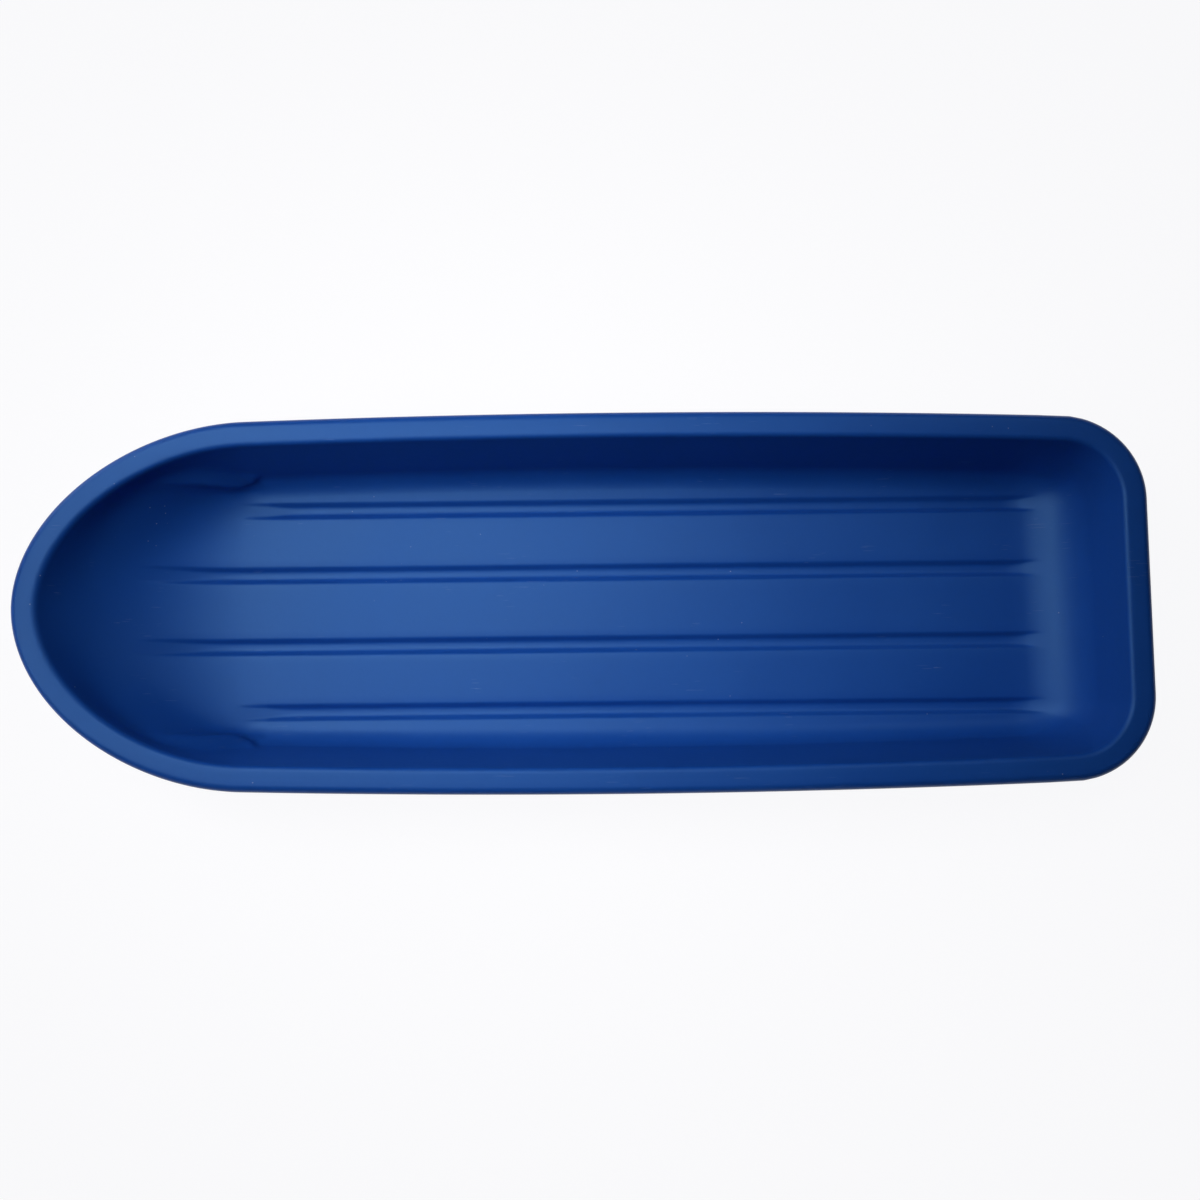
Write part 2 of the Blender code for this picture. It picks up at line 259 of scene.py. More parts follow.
@dataclass(frozen=True)
class Ledge:
    """The slanting ledge in a front corner: its ridge climbs to the nose until the wall meets it.

    Attributes:
        aft: The x of the ridge's aft end.
        length: Length of the ridge.
        clear_aft: How far behind its aft end the wall is sure to be plain.
        ridge_least: A height that is below the ridge everywhere.
        ridge_low, ridge_high: Height of the ridge at its aft end and at its tip.
        crown: How much faster the ridge climbs at first.
        ridge_aft_y, ridge_tip_y: Distance of the two ends from the middle of the sled.
        top_slope: Slope of the ledge's top, from level.
        face_draft: Lean of its face, from upright.
        aft_slant: How far its aft end runs outwards for each metre aft.
        foot_radius: Radius between its face and the floor.
        edge_blend, end_blend: Softness of the ridge and of the aft end's edge.
        wall_blend, foot_blend: Softness where it meets the wall, higher up and at the floor.
    """

    aft: float = 0.480
    length: float = 0.114
    clear_aft: float = 0.15
    ridge_least: float = 0.008
    ridge_low: float = 0.021
    crown: float = 0.6
    ridge_high: float = 0.092
    ridge_aft_y: float = 0.1765
    ridge_tip_y: float = 0.1755
    top_slope: float = math.radians(38.0)
    face_draft: float = math.radians(4.0)
    aft_slant: float = 1.2
    foot_radius: float = 0.004
    edge_blend: float = 0.007
    end_blend: float = 0.010
    wall_blend: float = 0.012
    foot_blend: float = 0.004

    @property
    def tip(self) -> float:
        """Where the ridge runs into the wall."""
        return self.aft + self.length

    def ridge_height(self, x: float) -> float:
        """Height of the ridge above the floor: it climbs fast at first and levels off at its tip."""
        share = min(1.0, max(0.0, (x - self.aft) / self.length))
        return mix(self.ridge_low, self.ridge_high, share * (1.0 + self.crown * (1.0 - share)))

    def ridge_y(self, x: float) -> float:
        """Distance of the ridge from the middle of the sled."""
        return mix(self.ridge_aft_y, self.ridge_tip_y, (x - self.aft) / self.length)

    def surface_y(self, x: float, height: float) -> float:
        """The ledge's surface: a steep face, a sloping top above the ridge and a slanting aft end.

        Args:
            x: Place along the sled.
            height: Height above the floor.

        Returns:
            The y of the surface, to be compared with the wall's.
        """
        above = height - self.ridge_height(x)
        face = above * math.tan(self.face_draft)
        top = above / math.tan(self.top_slope)
        end = (self.aft - x) * self.aft_slant
        outward = soft_max(soft_max(face, top, self.edge_blend), end, self.end_blend)
        low = max(0.0, self.foot_radius - height)
        foot = self.foot_radius - math.sqrt(self.foot_radius ** 2 - low ** 2)
        return self.ridge_y(x) + outward - foot

    def blend(self, height: float) -> float:
        """How softly the ledge meets the wall at a height."""
        return mix(self.foot_blend, self.wall_blend, ease(height / self.ridge_low))


@dataclass(frozen=True)
class TubMould:
    """The shape of the tub's inside, measured upwards from its flat floor.

    Attributes:
        sheet, rim, ledge: The parts that have sizes of their own.
        side_wall, stern_wall, bow_wall: The walls. The bow's fillet is its whole sweep.
        runners: The inner and the outer channel of the +Y half.
        beam_x: Where the tub is widest.
        side_radius: Radius of the sides' slight bulge.
        stern_corner, floor_corner: Radius of the stern's corners at the rim and at the floor.
        bow_length, bow_squareness: Length of the bow's outline at the rim and its exponent, 2 for an ellipse.
        lower_bow_length, lower_bow_squareness: The same further down.
        lower_bow_inset: How far inside the rim the bow wall takes the lower outline.
        shoulder_fullness: How far the bow's corners swell out at most.
        shoulder_height: The height at which they do.
    """

    sheet: Sheet
    rim: Rim = Rim()
    side_wall: Wall = Wall(math.radians(10.5), 0.034)
    stern_wall: Wall = Wall(math.radians(10.5), 0.087)
    bow_wall: Wall = Wall(math.radians(32.0), 0.300)
    runners: tuple[Runner, ...] = (Runner(0.052, 0.122, 0.125), Runner(0.14653, 0.262, 0.085))
    ledge: Ledge = Ledge()
    beam_x: float = -0.047
    side_radius: float = 17.393
    stern_corner: float = 0.0805
    floor_corner: float = 0.012
    bow_length: float = 0.2735
    bow_squareness: float = 1.90
    lower_bow_length: float = 0.2585
    lower_bow_squareness: float = 2.00
    lower_bow_inset: float = 0.050
    shoulder_fullness: float = 0.006
    shoulder_height: float = 0.100

    @property
    def floor_z(self) -> float:
        """Height of the tub's flat floor above the ground."""
        return self.runners[0].depth + self.sheet.thickness

    @property
    def depth(self) -> float:
        """Depth of the tub from the top of the rim to the floor."""
        return self.sheet.height - self.floor_z

    @property
    def half(self) -> float:
        """Half width of the tub at the top of its wall."""
        return self.sheet.width / 2 - self.rim.width

    @property
    def stern(self) -> float:
        """The x of the top of the stern wall."""
        return -self.sheet.length / 2 + self.rim.width

    @property
    def nose(self) -> float:
        """The x of the top of the bow wall."""
        return self.sheet.length / 2 - self.rim.width

    def drop(self, x: float, y: float) -> float:
        """How deep the runner channels are pressed in at a point."""
        return sum(runner.drop(x, y, self.sheet.length / 2) for runner in self.runners)


class Axis(IntEnum):
    """The two level axes, by their place in a point."""

    X = 0
    Y = 1


class Stretch(IntEnum):
    """The four stretches of a waterline, by the place where each ends."""

    STERN = 1
    CORNER = 2
    SIDE = 3
    BOW = 4


class Waterline:
    """The outline of the tub's inside at one height, for the +Y half.

    A place on it is a number from 0, at the middle of the stern, to 4, at the nose. The whole numbers between
    are where one stretch ends and the next begins.
    """

    HALVINGS = 34
    NUDGE = 0.002

    def __init__(self, mould: TubMould, height: float) -> None:
        """Works out the outline at a height.

        Args:
            mould: The tub's shape.
            height: Height above the floor.
        """
        depth = mould.depth
        side = mould.side_wall.inset(height, depth)
        stern = mould.stern_wall.inset(height, depth)
        bow = mould.bow_wall.inset(height, depth)
        deepest = mould.side_wall.inset(0.0, depth) + mould.stern_wall.inset(0.0, depth)
        self.mould = mould
        self.height = height
        self.half = mould.half - side
        self.stern = mould.stern + stern
        self.nose = mould.nose - bow
        self.corner = mix(mould.stern_corner, mould.floor_corner, (side + stern) / deepest)
        self.corner_x = self.stern + self.corner
        self.middle_y = self.half - mould.side_radius
        gap = mould.side_radius - self.corner
        self.corner_y = self.middle_y + math.sqrt(gap ** 2 - (self.corner_x - mould.beam_x) ** 2)
        self.corner_turn = math.acos((mould.beam_x - self.corner_x) / gap)
        self.side_start = self.corner_x - self.corner * math.cos(self.corner_turn)
        low = ease(bow / mould.lower_bow_inset)
        self.shoulder = mould.nose - mix(mould.bow_length, mould.lower_bow_length, low)
        self.power = 2.0 / mix(mould.bow_squareness, mould.lower_bow_squareness, low)
        rise = (height - mould.shoulder_height) / (depth - mould.shoulder_height)
        self.fullness = mould.shoulder_fullness * (1.0 - ease(abs(rise)))

    def side(self, x: float) -> float:
        """The y of the slightly bulging side wall."""
        return self.middle_y + math.sqrt(self.mould.side_radius ** 2 - (x - self.mould.beam_x) ** 2)

    def point(self, place: float) -> Spot:
        """Finds a point of the outline.

        Args:
            place: Its place on the outline, from 0 to 4.

        Returns:
            Its x and y.
        """
        if place <= Stretch.STERN:
            return self.stern, self.corner_y * place
        if place <= Stretch.CORNER:
            turn = (place - Stretch.STERN) * self.corner_turn
            return self.corner_x - self.corner * math.cos(turn), self.corner_y + self.corner * math.sin(turn)
        if place >= Stretch.BOW:
            return self.nose, 0.0
        turn = max(0.0, place - Stretch.SIDE) * math.pi / 2
        if turn == 0.0:
            x = mix(self.side_start, self.shoulder, place - Stretch.CORNER)
            wall = self.side(x)
        else:
            x = self.shoulder + (self.nose - self.shoulder) * math.sin(turn) ** self.power
            wall = self.side(x) * math.cos(turn) ** self.power + self.fullness * math.sin(2 * turn) ** 2
        ledge = self.mould.ledge
        if x < ledge.aft - ledge.clear_aft:
            return x, wall
        return x, soft_min(wall, ledge.surface_y(x, self.height), ledge.blend(self.height))

    def place(self, value: float, axis: Axis, first: float, last: float) -> float:
        """Finds the place where x or y has a value.

        Args:
            value: The wanted coordinate.
            axis: Which coordinate it is.
            first: A place before the one that is looked for.
            last: A place after it.

        Returns:
            The place between the two.
        """
        rising = self.point(last)[axis] > self.point(first)[axis]
        for _ in range(self.HALVINGS):
            middle = (first + last) / 2
            if (self.point(middle)[axis] < value) == rising:
                first = middle
            else:
                last = middle
        return (first + last) / 2

    def outward(self, place: float) -> Spot:
        """Finds the way out of the tub at a place.

        Args:
            place: The place on the outline.

        Returns:
            The x and y of a unit direction, square to the outline.
        """
        if place <= 0.0:
            return -1.0, 0.0
        if place >= Stretch.BOW:
            return 1.0, 0.0
        x0, y0 = self.point(max(0.0, place - self.NUDGE))
        x1, y1 = self.point(min(Stretch.BOW, place + self.NUDGE))
        size = math.hypot(x1 - x0, y1 - y0)
        return -(y1 - y0) / size, (x1 - x0) / size


@lru_cache(maxsize=4096)
def waterline(mould: TubMould, height: float) -> Waterline:
    """The waterline at a height, kept for the next rib that asks."""
    return Waterline(mould, height)


class Rib:
    """A line of edges that climbs the wall from one edge point of the floor to the rim.

    Attributes:
        fan: 1 on a rib that fans out evenly, more on one that does so mostly at first.
        rows: The heights at which the rib crosses the ledge's ridge and the top of its slope.
    """

    def __init__(self, mould: TubMould, rim_place: float, hold: float) -> None:
        """Keeps the mould and where the rib meets the rim.

        Args:
            mould: The tub's shape.
            rim_place: The rib's place on the rim's waterline.
            hold: The height up to which the rib stays in line with its floor point.
        """
        self.mould = mould
        self.rim_place = rim_place
        self.hold = hold
        self.fan = 1.0
        self.rows = (0.0, 0.0)

    def start(self, line: Waterline) -> float:
        """The rib's place on a low waterline."""
        raise NotImplementedError

    def place(self, line: Waterline) -> float:
        """Follows the rib upwards: in line at first, then fanning out to the rim.

        Args:
            line: Any waterline.

        Returns:
            The rib's place on it.
        """
        if line.height <= self.hold:
            return self.start(line)
        left = (self.mould.depth - line.height) / (self.mould.depth - self.hold)
        return mix(self.rim_place, self.start(waterline(self.mould, self.hold)), max(0.0, left) ** self.fan)


class SternRib(Rib):
    """A rib up the stern wall, from a lengthwise line of the floor."""

    def __init__(self, mould: TubMould, y: float, rim_place: float, hold: float) -> None:
        """Keeps the y of its floor point."""
        super().__init__(mould, rim_place, hold)
        self.y = y

    def start(self, line: Waterline) -> float:
        """The rib's place on a low waterline."""
        return 0.0 if self.y == 0.0 else line.place(self.y, Axis.Y, 0.0, Stretch.CORNER)


class BowRib(SternRib):
    """A rib up the bow wall, from a lengthwise line of the floor."""

    FIRST_PLACE = 2.5

    def start(self, line: Waterline) -> float:
        """The rib's place on a low waterline."""
        return Stretch.BOW if self.y == 0.0 else line.place(self.y, Axis.Y, self.FIRST_PLACE, Stretch.BOW)


class SideRib(Rib):
    """A rib up a side wall, which keeps its x or leans forward as it leaves the floor."""

    LEAN_HEIGHT = 0.024
    LAST_PLACE = 3.9

    def __init__(self, mould: TubMould, x: float, lean: float) -> None:
        """Keeps where the rib starts and how it goes on.

        Args:
            mould: The tub's shape.
            x: The x of its floor point.
            lean: How far it leans forward.
        """
        super().__init__(mould, 0.0, mould.depth)
        self.x = x
        self.lean = lean

    def start(self, line: Waterline) -> float:
        """The rib's place on any waterline."""
        x = self.x + self.lean * ease(line.height / self.LEAN_HEIGHT)
        return line.place(x, Axis.X, Stretch.STERN, self.LAST_PLACE)


class CornerRib(Rib):
    """A rib from a corner of the floor, which runs midway between its two neighbours."""

    def __init__(self, mould: TubMould) -> None:
        """Makes the rib, whose neighbours are set when all ribs are there."""
        super().__init__(mould, 0.0, mould.depth)
        self.neighbours: tuple[Rib, Rib] | None = None

    def start(self, line: Waterline) -> float:
        """The rib's place on any waterline."""
        return (self.neighbours[0].place(line) + self.neighbours[1].place(line)) / 2


@dataclass
class SledShell:
    """The sled itself: one sheet lofted over the mould, mirrored, thickened and beveled at its cut edge.

    The floor is a grid of lengthwise lines and crosswise stations. A rib climbs from each point of its edge,
    and a ring of edges crosses the ribs at each level. Some levels bend, to follow the ledge.

    Attributes:
        mould: The tub's shape.
        stern_margin, nose_margin: How far the grid ends before the feet of the stern and bow walls.
        line_gap: Most space between lengthwise lines outside the channels.
        fine_step, long_step: Most space between stations near the ends, and between the others.
        stern_fine, bow_fine: Lengths of the fine stations.
        bow_finest: Length, at the bow, of stations twice as fine.
        stern_rim, bow_rim: How far round the rim the ribs from the stern and bow edges fan out.
        stern_hold, bow_holds: Heights up to which they stay in line, at the bow by their y.
        bow_fan: How much the outermost at the bow hurry to fan out.
        bow_fan_from, bow_fan_over: The y at which that begins, and the width over which it comes in.
        lean, lean_over: How far the foremost side ribs lean forward, and the length over which that comes in.
        ridge_level, top_level: The levels that bend to the ledge's ridge and to the top of its slope.
        ledge_before, ledge_after: The lengths behind and past the ledge over which they bend.
        slope_least, slope_most: Bounds of the height between those two levels on the ledge.
        channel_top: Height up to which the channels are worked into the wall.
        fold_steps: Steps round the fold between wall and rim.
        merge: Distance under which the two halves' points join at the middle.
        cut_bevel, cut_angle: Bevel of the sheet's cut edge, and how sharp an edge must be to get it.
        smooth_angle: An edge flatter than this is shaded smooth.
        levels: Heights of the rings above the floor.
    """

    mould: TubMould
    stern_margin: float = 0.006
    nose_margin: float = 0.016
    line_gap: float = 0.010
    fine_step: float = 0.006
    long_step: float = 0.020
    stern_fine: float = 0.06
    bow_fine: float = 0.12
    bow_finest: float = 0.04
    stern_rim: float = 1.88
    stern_hold: float = 0.0095
    bow_rim: float = 0.92
    bow_holds: tuple[Spot, ...] = ((0.066, 0.045), (0.100, 0.0155), (0.130, 0.005))
    bow_fan: float = 4.0
    bow_fan_from: float = 0.11
    bow_fan_over: float = 0.05
    lean: float = 0.020
    lean_over: float = 0.07
    ridge_level: float = 0.038
    top_level: float = 0.060
    ledge_before: float = 0.07
    ledge_after: float = 0.09
    slope_least: float = 0.006
    slope_most: float = 0.018
    channel_top: float = 0.06
    fold_steps: int = 5
    merge: float = 0.00001
    cut_bevel: float = 0.0007
    cut_angle: float = math.radians(70.0)
    smooth_angle: float = math.radians(50.0)
    levels: tuple[float, ...] = (
        0.0004, 0.0011, 0.0022, 0.0036, 0.0053, 0.0074, 0.0100, 0.0130, 0.0162, 0.0196, 0.0232, 0.0265,
        0.0293, 0.0316, 0.0336, 0.0352, 0.0366, 0.0380, 0.0394, 0.0410, 0.0430, 0.0455, 0.0485, 0.0515,
        0.0545, 0.0573, 0.0600, 0.0630, 0.0665, 0.0705, 0.0750, 0.0800, 0.0850, 0.0900, 0.0950, 0.1000,
        0.1050, 0.1100, 0.1150, 0.1200, 0.1250, 0.1295, 0.1340)
    lines: list[float] = field(init=False)
    stations: list[float] = field(init=False)
    ribs: list[Rib] = field(init=False)

    HALVINGS = 18
    DIGITS = 7
    RIB_LAYER = "rib"

    def __post_init__(self) -> None:
        """Lays out the edges of the floor and the ribs of the wall."""
        inner, outer = (runner.lines() for runner in self.mould.runners)
        self.lines = (spread(0.0, inner[0], self.line_gap)[:-1] + inner
                      + spread(inner[-1], outer[0], self.line_gap)[1:-1] + outer)
        depth = self.mould.depth
        aft = self.mould.stern + self.mould.stern_wall.inset(0.0, depth) + self.stern_margin
        fore = self.mould.nose - self.mould.bow_wall.inset(0.0, depth) - self.nose_margin
        self.stations = (spread(aft, aft + self.stern_fine, self.fine_step)[:-1]
                         + spread(aft + self.stern_fine, fore - self.bow_fine, self.long_step)[:-1]
                         + spread(fore - self.bow_fine, fore - self.bow_finest, self.fine_step)[:-1]
                         + spread(fore - self.bow_finest, fore, self.fine_step / 2))
        self.ribs = self.lay_ribs()

    def lay_ribs(self) -> list[Rib]:
        """Makes the ribs round the +Y half.

        Returns:
            One rib for each point of the floor's edge, in order from the stern to the nose.
        """
        last = len(self.lines) - 1
        mould = self.mould
        ribs: list[Rib] = [SternRib(mould, y, self.stern_rim * i / last, self.stern_hold)
                           for i, y in enumerate(self.lines[:-1])]
        corners = [CornerRib(mould), CornerRib(mould)]
        ribs.append(corners[0])
        fore = self.stations[-1]
        for x in self.stations[1:-1]:
            share = ease((x - fore + self.lean_over) / self.lean_over)
            ribs.append(SideRib(mould, x, self.lean * share ** 2))
        ribs.append(corners[1])
        for i in range(last - 1, -1, -1):
            y = self.lines[i]
            ribs.append(BowRib(mould, y, Stretch.BOW - self.bow_rim * i / last, along(y, self.bow_holds)))
            ribs[-1].fan = 1.0 + self.bow_fan * ease((y - self.bow_fan_from) / self.bow_fan_over)
        for corner in corners:
            i = ribs.index(corner)
            corner.neighbours = (ribs[i - 1], ribs[i + 1])
        for rib in ribs:
            rib.rows = self.ledge_rows(rib)
        return ribs

    def ledge_rows(self, rib: Rib) -> tuple[float, float]:
        """Where one rib crosses the ledge: at its ridge, and where its sloping top meets the wall.

        Args:
            rib: The rib to follow up the wall.

        Returns:
            The two heights, or their resting values on a rib that passes clear of the ledge.
        """
        ledge = self.mould.ledge
        low, high = ledge.ridge_least, ledge.ridge_high
        for _ in range(self.HALVINGS):
            height = (low + high) / 2
            line = Waterline(self.mould, height)
            x, y = line.point(rib.place(line))
            if ledge.ridge_height(x) > height:
                low = height
            else:
                high = height
        near = (ease((x - ledge.aft + self.ledge_before) / self.ledge_before)
                * (1.0 - ease((x - ledge.tip) / self.ledge_after)))
        slope = (line.half - ledge.ridge_y(x)) * math.tan(ledge.top_slope)
        slope = max(self.slope_least, min(self.slope_most, slope))
        return mix(self.ridge_level, height, near), mix(self.top_level, height + slope, near)

    def wall_point(self, rib: Rib, level: float) -> Point:
        """Finds a point of the tub's inside, with the ledge and the channels worked in.

        Args:
            rib: The rib that it is on.
            level: The level that it is on.

        Returns:
            The point.
        """
        ridge, top = rib.rows
        last = self.levels[-1]
        height = along(level, ((0.0, 0.0), (self.ridge_level, ridge), (self.top_level, top), (last, last)))
        height = round(height, self.DIGITS)
        line = waterline(self.mould, height)
        x, y = line.point(rib.place(line))
        drop = self.mould.drop(x, y) if height < self.channel_top else 0.0
        return x, y, self.mould.floor_z + height - drop

    def rim_points(self, rib: Rib) -> list[Point]:
        """Takes one rib on above the wall: inner fold, flange, outer fold and lip.

        Args:
            rib: The rib.

        Returns:
            Its points there, from the wall outwards.
        """
        mould, rim = self.mould, self.mould.rim
        top_z = mould.sheet.height
        line = waterline(mould, mould.depth)
        place = rib.place(line)
        x, y = line.point(place)
        nx, ny = line.outward(place)
        below = waterline(mould, mould.depth - rim.inner_fold)
        start = Vector((*below.point(rib.place(below)), top_z - rim.inner_fold))
        middle = Vector((x, y, top_z))
        end = Vector((x + nx * rim.inner_fold, y + ny * rim.inner_fold, top_z))
        shares = [i / self.fold_steps for i in range(self.fold_steps + 1)]
        fold = [start.lerp(middle, share).lerp(middle.lerp(end, share), share) for share in shares]
        flange = [(x + nx * out, y + ny * out, top_z - drop) for out, drop in rim.profile()]
        return [tuple(point) for point in fold] + flange

    def lay_floor(self) -> bpy.types.Object:
        """Adds a flat grid and presses it into the floor of the +Y half, channels and all.

        Returns:
            The new object, in edit mode, with each vertex's rib number in its layer.
        """
        bpy.ops.object.select_all(action="DESELECT")
        bpy.ops.mesh.primitive_grid_add(
            x_subdivisions=len(self.stations) - 1, y_subdivisions=len(self.lines) - 1, size=1.0)
        shell = bpy.context.object
        bpy.ops.object.mode_set(mode="EDIT")
        work = bmesh.from_edit_mesh(shell.data)
        number = work.verts.layers.int.new(self.RIB_LAYER)
        last_x, last_y = len(self.stations) - 1, len(self.lines) - 1
        for vert in work.verts:
            # The new grid is a square of size 1 about the origin.
            i = round((vert.co.x + 0.5) * last_x)
            j = round((vert.co.y + 0.5) * last_y)
            x, y = self.stations[i], self.lines[j]
            vert.co = (x, y, self.mould.floor_z - self.mould.drop(x, y))
            if i == 0:
                vert[number] = j
            elif j == last_y:
                vert[number] = last_y + i
            elif i == last_x:
                vert[number] = last_y + last_x + last_y - j
            else:
                vert[number] = -1
        bmesh.update_edit_mesh(shell.data)
        return shell

    def select_open_edge(self, shell: bpy.types.Object) -> None:
        """Selects the open edges of the half shell, apart from those on the middle plane.

        Args:
            shell: The half shell, in edit mode.
        """
        work = bmesh.from_edit_mesh(shell.data)
        for item in (*work.verts, *work.edges, *work.faces):
            item.select = False
        for edge in work.edges:
            if edge.is_boundary and max(vert.co.y for vert in edge.verts) > TINY:
                edge.select_set(True)
        bmesh.update_edit_mesh(shell.data)

    def raise_ring(self, shell: bpy.types.Object, ring: list[Point]) -> None:
        """Extrudes the open edge once and lays the new edge on the next ring of points.

        Args:
            shell: The half shell, in edit mode, with its open edge selected.
            ring: A point for each rib.
        """
        bpy.ops.mesh.extrude_edges_move()
        work = bmesh.from_edit_mesh(shell.data)
        number = work.verts.layers.int[self.RIB_LAYER]
        for vert in work.verts:
            if vert.select:
                vert.co = ring[vert[number]]
        bmesh.update_edit_mesh(shell.data)

    def loft(self) -> bpy.types.Object:
        """Lofts the +Y half: the floor, then the wall, ring by ring, then the rim.

        Returns:
            The half shell, one face thick.
        """
        shell = self.lay_floor()
        bpy.ops.mesh.select_mode(type="EDGE")
        self.select_open_edge(shell)
        rings = [[self.wall_point(rib, level) for rib in self.ribs] for level in self.levels]
        rings += [list(ring) for ring in zip(*(self.rim_points(rib) for rib in self.ribs))]
        for ring in rings:
            self.raise_ring(shell, ring)
        bpy.ops.mesh.select_all(action="SELECT")
        bpy.ops.mesh.normals_make_consistent(inside=False)
        bpy.ops.object.mode_set(mode="OBJECT")
        return shell

    def finish_shell(self, shell: bpy.types.Object) -> None:
        """Mirrors the half, gives it the sheet's thickness and eases its cut edge.

        Args:
            shell: The half shell, which becomes the whole.
        """
        mirror = shell.modifiers.new("both sides", "MIRROR")
        mirror.use_axis = (False, True, False)
        mirror.use_clip = True
        mirror.merge_threshold = self.merge
        sheet = shell.modifiers.new("sheet", "SOLIDIFY")
        sheet.thickness = self.mould.sheet.thickness
        sheet.offset = -1.0
        sheet.use_even_offset = True
        sheet.use_quality_normals = True
        edge = shell.modifiers.new("cut edge", "BEVEL")
        edge.width = self.cut_bevel
        edge.segments = 2
        edge.limit_method = "ANGLE"
        edge.angle_limit = self.cut_angle
        for modifier in (mirror, sheet, edge):
            bpy.ops.object.modifier_apply(modifier=modifier.name)
        bpy.ops.object.shade_smooth_by_angle(angle=self.smooth_angle)

    def build(self, finish: Polyethylene) -> bpy.types.Object:
        """Makes the shell and sets it on the frame in place of its CAD node.

        Args:
            finish: The plastic it is made of.

        Returns:
            The finished piece.
        """
        shell = self.loft()
        self.finish_shell(shell)
        shell.name = shell.data.name = "moulded_shell"
        shell.data.materials.clear()
        shell.data.materials.append(finish.material())
        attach(shell, BODY)
        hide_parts(NODE)
        return shell


class Socket:
    """A value in a node tree, so that shader maths reads as an expression."""

    STEP_SOFTNESS = 0.1

    def __init__(self, tree: NodeTree, link: bpy.types.NodeSocket) -> None:
        """Wraps an output socket of a node tree."""
        self.tree = tree
        self.link = link

    def _math(self, operation: str, *values: Socket | float) -> Socket:
        """Adds one Math node."""
        return self.tree.node("ShaderNodeMath", {"operation": operation}, dict(enumerate(values)))("Value")

    def __add__(self, other: Socket | float) -> Socket:
        """Sum."""
        return self._math("ADD", self, other)

    def __sub__(self, other: Socket | float) -> Socket:
        """Difference."""
        return self._math("SUBTRACT", self, other)

    def __rsub__(self, other: float) -> Socket:
        """Difference from a number."""
        return self._math("SUBTRACT", other, self)

    def __mul__(self, other: Socket | float) -> Socket:
        """Product."""
        return self._math("MULTIPLY", self, other)

    __radd__ = __add__
    __rmul__ = __mul__

    def above(self, edge: float, width: float) -> Socket:
        """0 below an edge and 1 above it, with a soft step of a given width."""
        ramp = self._math("MAXIMUM", (self - edge) * (1.0 / width), 0.0)
        return self._math("SMOOTH_MIN", ramp, 1.0, self.STEP_SOFTNESS)


class ColourMix(IntEnum):
    """The sockets of a Mix node that mixes colours, by number, as several share a name."""

    AMOUNT = 0
    FIRST = 6
    SECOND = 7
    RESULT = 2


class ShaderMix(IntEnum):
    """The sockets of a Mix Shader node, by number, as two share a name."""

    AMOUNT = 0
    FIRST = 1
    SECOND = 2


class NodeTree:
    """Adds nodes to a material or world."""

    def __init__(self, owner: bpy.types.Material | bpy.types.World) -> None:
        """Clears the owner's node tree and keeps it.

        Args:
            owner: What the nodes are for.
        """
        owner.use_nodes = True
        self.nodes = owner.node_tree.nodes
        self.links = owner.node_tree.links
        self.nodes.clear()

    def node(self, kind: str, settings: dict[str, object] | None = None,
             inputs: dict[str | int, object] | None = None) -> Callable[[str | int], Socket]:
        """Adds one node.

        Args:
            kind: The node's type name.
            settings: Attributes, which are set first.
            inputs: What each input socket is set or linked to.

        Returns:
            A function that gives an output of the node, by its name or number, as a Socket.
        """
        made = self.nodes.new(kind)
        for name, value in (settings or {}).items():
            setattr(made, name, value)
        for name, value in (inputs or {}).items():
            if isinstance(value, Socket):
                self.links.new(value.link, made.inputs[name])
            else:
                made.inputs[name].default_value = value
        return lambda output: Socket(self, made.outputs[output])

    def noise(self, coords: Socket, scale: float, detail: float) -> Socket:
        """Adds a noise pattern."""
        return self.node("ShaderNodeTexNoise", None, {
            "Vector": coords, "Scale": scale, "Detail": detail})("Fac")

    def colour_mix(self, amount: Socket, first: Socket | Colour, second: Socket | Colour) -> Socket:
        """Mixes two colours: an amount of 0 gives the first, 1 the second."""
        first, second = (c if isinstance(c, Socket) else (*c, 1.0) for c in (first, second))
        return self.node("ShaderNodeMix", {"data_type": "RGBA"}, {
            ColourMix.AMOUNT: amount, ColourMix.FIRST: first, ColourMix.SECOND: second})(ColourMix.RESULT)

    def shader_mix(self, amount: Socket | float, first: Socket, second: Socket) -> Socket:
        """Mixes two shaders."""
        return self.node("ShaderNodeMixShader", None, {
            ShaderMix.AMOUNT: amount, ShaderMix.FIRST: first, ShaderMix.SECOND: second})("Shader")


@dataclass(frozen=True)
class Patches:
    """A mask made from noise: 1 where the noise is above an edge, with a soft step of a given width."""

    scale: float
    detail: float
    edge: float
    width: float

    def mask(self, tree: NodeTree, coords: Socket) -> Socket:
        """Adds the mask's nodes."""
        return tree.noise(coords, self.scale, self.detail).above(self.edge, self.width)


@dataclass(frozen=True)
class Relief:
    """Fine unevenness of a surface: the scale, detail and height of its noise."""

    scale: float
    detail: float
    height: float

    def bumps(self, tree: NodeTree, coords: Socket) -> Socket:
        """Adds the nodes that give the height."""
        return tree.noise(coords, self.scale, self.detail) * self.height


@dataclass(frozen=True)
class Scratches:
    """Thin short scratches that run one way, in patches.

    Attributes:
        turn: Their direction, round Z.
        stretch: How much longer than wide a scratch is.
        scale: How close they lie.
        strokes: The scratches, on the turned and stretched coordinates.
        places: The patches that have them.
    """

    turn: float
    stretch: float
    scale: float = 9.0
    strokes: Patches = Patches(4.0, 0.0, 0.80, 0.03)
    places: Patches = Patches(14.0, 1.0, 0.60, 0.06)

    def mask(self, tree: NodeTree, coords: Socket) -> Socket:
        """Adds the scratches' nodes, which give 1 on a scratch and 0 off it."""
        turned = tree.node("ShaderNodeMapping", None, {
            "Vector": coords, "Rotation": (0.0, 0.0, self.turn),
            "Scale": (self.scale, self.scale * self.stretch, self.scale)})("Vector")
        return self.strokes.mask(tree, turned) * self.places.mask(tree, coords)


